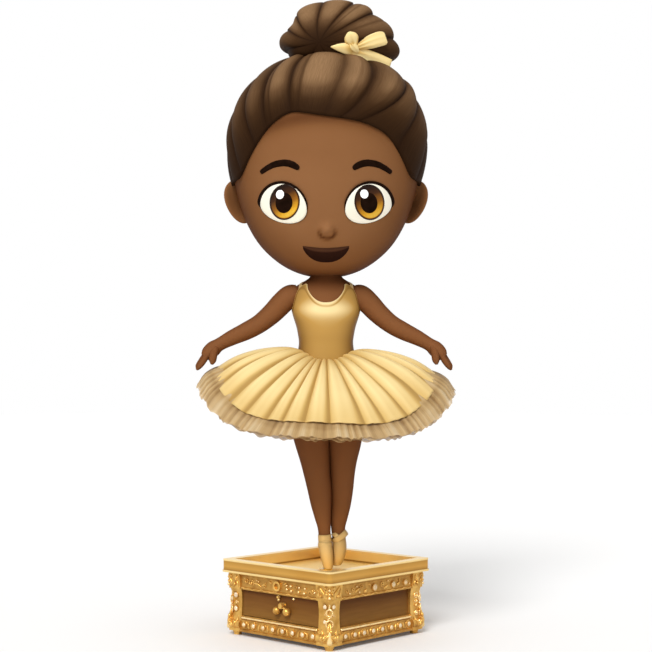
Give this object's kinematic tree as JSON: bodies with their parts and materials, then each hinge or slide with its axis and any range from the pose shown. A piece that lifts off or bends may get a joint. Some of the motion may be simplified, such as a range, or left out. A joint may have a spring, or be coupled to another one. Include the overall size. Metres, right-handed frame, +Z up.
{
  "type": "ballerina jewellery box",
  "caption": "Gilt square jewellery box with a drawer, stone-set rails and a hidden wind-up movement that turns a ballerina in a satin and net tutu on its top.",
  "frame": {"origin": "middle of the casket's footprint, on the plane its four feet stand on", "axes": "+Z up along the dancer's shaft; the drawer opens towards -Y; +X is to the right of the drawer"},
  "size_m": [0.144, 0.144, 0.3554],
  "materials": {
    "gilt": "gilt, burnished on the edges",
    "deck_gilt": "gilt, softly brushed",
    "pale_gilt": "pale gilt, burnished",
    "wood": "plain lacquered wood",
    "panel_wood": "satin lacquer over fine straight grain",
    "brass": "turned brass",
    "steel": "brushed",
    "blue_steel": "tempered spring steel",
    "stones": "clear cut glass stones",
    "skin": "painted vinyl, soft satin",
    "shoe_satin": "pointe-shoe satin",
    "leotard_satin": "stretch satin",
    "skirt_satin": "pleated satin",
    "net": "ruffled net",
    "hair": "moulded, soft sheen",
    "bow_satin": "satin ribbon",
    "eye_white": "gloss",
    "iris": "gloss",
    "dark_paint": "satin paint",
    "mouth_paint": "matt paint"
  },
  "bodies": {
    "casket": {"top_rim": "gilt", "top_deck": "deck_gilt", "deck_bush": "brass", "corner_posts": "gilt", "frieze_rails": "gilt", "plinth_rails": "gilt", "side_panels": "panel_wood", "floor_panel": "wood", "partition": "wood", "feet": "gilt", "frieze_ring": "gilt", "stone_settings": "gilt", "stones": "stones", "leaf_drops": "pale_gilt", "bedplate": "steel", "movement_screws": "steel", "click_spring": "steel", "barrel_bridge": "brass", "comb": "steel", "cylinder_bracket": "steel", "governor_frame": "steel"},
    "figure": {"figure_gear": "brass", "figure_shaft": "steel", "left_leg": "skin", "right_leg": "skin", "left_shoe": "shoe_satin", "right_shoe": "shoe_satin", "shoe_ribbons": "shoe_satin", "torso": "skin", "leotard": "leotard_satin", "left_arm": "skin", "right_arm": "skin", "tutu_overlay": "skirt_satin", "tutu_net": "net", "head": "skin", "hair_cap": "hair", "hair_bun": "hair", "bow": "bow_satin", "eye_whites": "eye_white", "irises": "iris", "pupils": "dark_paint", "eyebrows": "dark_paint", "lash_lines": "dark_paint", "mouth": "mouth_paint"},
    "barrel": {"spring_barrel": "brass", "mainspring": "blue_steel"},
    "cylinder": {"pinned_cylinder": "brass", "cylinder_arbor": "brass"},
    "governor": {"governor_arbor": "brass"},
    "fly": {"fly_worm": "steel", "fly_vane": "brass"},
    "key": {"winding_arbor": "steel", "winding_key": "brass", "ratchet_wheel": "steel"},
    "drawer": {"drawer_front": "panel_wood", "drawer_tray": "wood", "pull_post": "gilt", "bead_hook": "gilt"},
    "pull": {"pull_drop": "gilt"},
    "beads": {"bead_drop": "pale_gilt"}
  },
  "joints": [
    {"name": "figure_spin", "type": "hinge", "parent": "casket", "child": "figure", "pos_m": [0, 0, 0.0353], "axis": [0, 0, 1], "continuous": true},
    {"name": "barrel_spin", "type": "hinge", "parent": "casket", "child": "barrel", "pos_m": [-0.018, 0.00928, 0.013], "axis": [0, 0, 1], "continuous": true},
    {"name": "cylinder_spin", "type": "hinge", "parent": "casket", "child": "cylinder", "pos_m": [0, 0.00928, 0.0222], "axis": [1, 0, 0], "continuous": true},
    {"name": "governor_spin", "type": "hinge", "parent": "casket", "child": "governor", "pos_m": [0.025, 0.00307, 0.02641], "axis": [1, 0, 0], "continuous": true},
    {"name": "fly_spin", "type": "hinge", "parent": "casket", "child": "fly", "pos_m": [0.0276, -0.00203, 0.02], "axis": [0, 0, 1], "continuous": true},
    {"name": "key_wind", "type": "hinge", "parent": "casket", "child": "key", "pos_m": [-0.018, 0.00928, 0.005], "axis": [0, 0, 1], "continuous": true},
    {"name": "drawer_slide", "type": "slide", "parent": "casket", "child": "drawer", "axis": [0, -1, 0], "range_m": [0, 0.018]},
    {"name": "pull_swing", "type": "hinge", "parent": "drawer", "child": "pull", "pos_m": [0.0032, -0.0382, 0.02], "axis": [0, 1, 0], "range_deg": [-35, 35]},
    {"name": "bead_swing", "type": "hinge", "parent": "drawer", "child": "beads", "pos_m": [-0.0002, -0.03695, 0.0242], "axis": [0, 1, 0], "range_deg": [-30, 30]}
  ],
  "couplings": [
    {"joint": "barrel_spin", "follows": "figure_spin", "ratio": -0.6875},
    {"joint": "cylinder_spin", "follows": "figure_spin", "ratio": -2.5781},
    {"joint": "governor_spin", "follows": "figure_spin", "ratio": 5.1562},
    {"joint": "fly_spin", "follows": "figure_spin", "ratio": 82.5}
  ]
}
